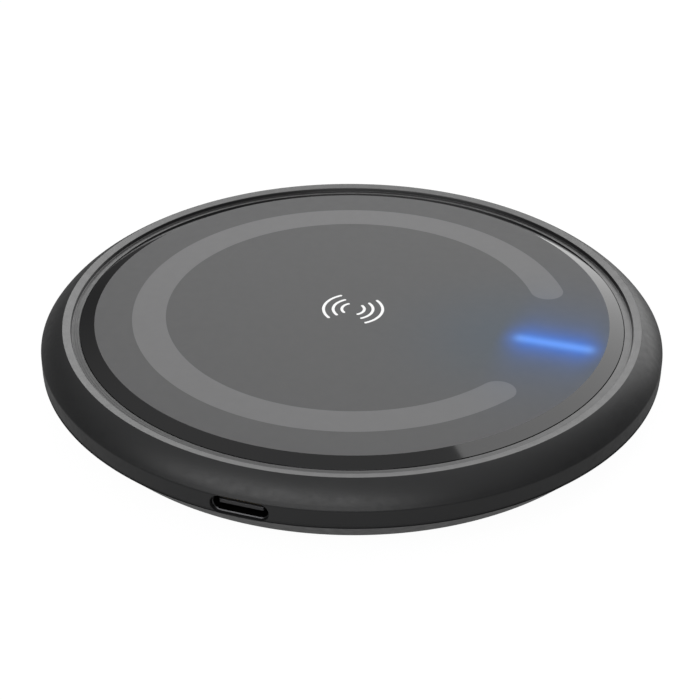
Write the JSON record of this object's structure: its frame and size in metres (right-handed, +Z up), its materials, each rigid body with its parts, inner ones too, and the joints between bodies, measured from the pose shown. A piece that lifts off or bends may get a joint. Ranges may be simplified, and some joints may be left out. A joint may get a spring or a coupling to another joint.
{
  "type": "wireless charging pad",
  "caption": "Round flat wireless charging pad with a bevelled face, a lit status bar, and a charging socket in its side wall.",
  "frame": {"origin": "centre of the resting face, on the surface that the pad stands on", "axes": "+Z up through the charging face, -Y out of the charging socket, +X along the status bar"},
  "size_m": [0.1, 0.0999, 0.011],
  "materials": {
    "foot_rubber": "matte silicone",
    "base_plastic": "fine moulded texture",
    "shell_plastic": "satin, fine moulded texture",
    "ring_gloss": "semi-gloss",
    "plate_gloss": "polished",
    "adhesive": "double-sided tape",
    "face_grey": "semi-gloss printed film",
    "band_grey": "semi-gloss print",
    "print_white": "printed ink",
    "window_blue": "translucent, lit from below",
    "guide_clear": "clear acrylic",
    "led_white": "moulded lens",
    "board_green": "solder mask",
    "socket_steel": "dark plated steel",
    "tongue_black": "moulded",
    "contact_gold": "gold plated",
    "ferrite": "sintered",
    "coil_copper": "enamelled copper litz",
    "component_black": "moulded epoxy",
    "capacitor_tan": "sintered",
    "can_steel": "drawn can",
    "screw_steel": "zinc plated"
  },
  "bodies": {
    "root": {"foot_ring": "foot_rubber", "lower_housing": "base_plastic", "upper_housing": "shell_plastic", "trim_ring": "ring_gloss", "top_plate": "plate_gloss", "plate_adhesive": "adhesive", "face_film": "face_grey", "band_print": "band_grey", "charge_symbol": "print_white", "light_window": "window_blue", "light_guide": "guide_clear", "status_leds": "led_white", "circuit_board": "board_green", "usb_shell": "socket_steel", "usb_tongue": "tongue_black", "usb_contacts": "contact_gold", "ferrite_tape": "adhesive", "ferrite_sheet": "ferrite", "charging_coil": "coil_copper", "coil_leads": "coil_copper", "thermistor": "component_black", "controller_chip": "component_black", "power_mosfets": "component_black", "resonant_capacitors": "capacitor_tan", "filter_capacitors": "capacitor_tan", "power_inductor": "ferrite", "crystal": "can_steel", "resistors": "component_black", "board_screws": "screw_steel", "housing_screws": "screw_steel"}
  },
  "joints": []
}
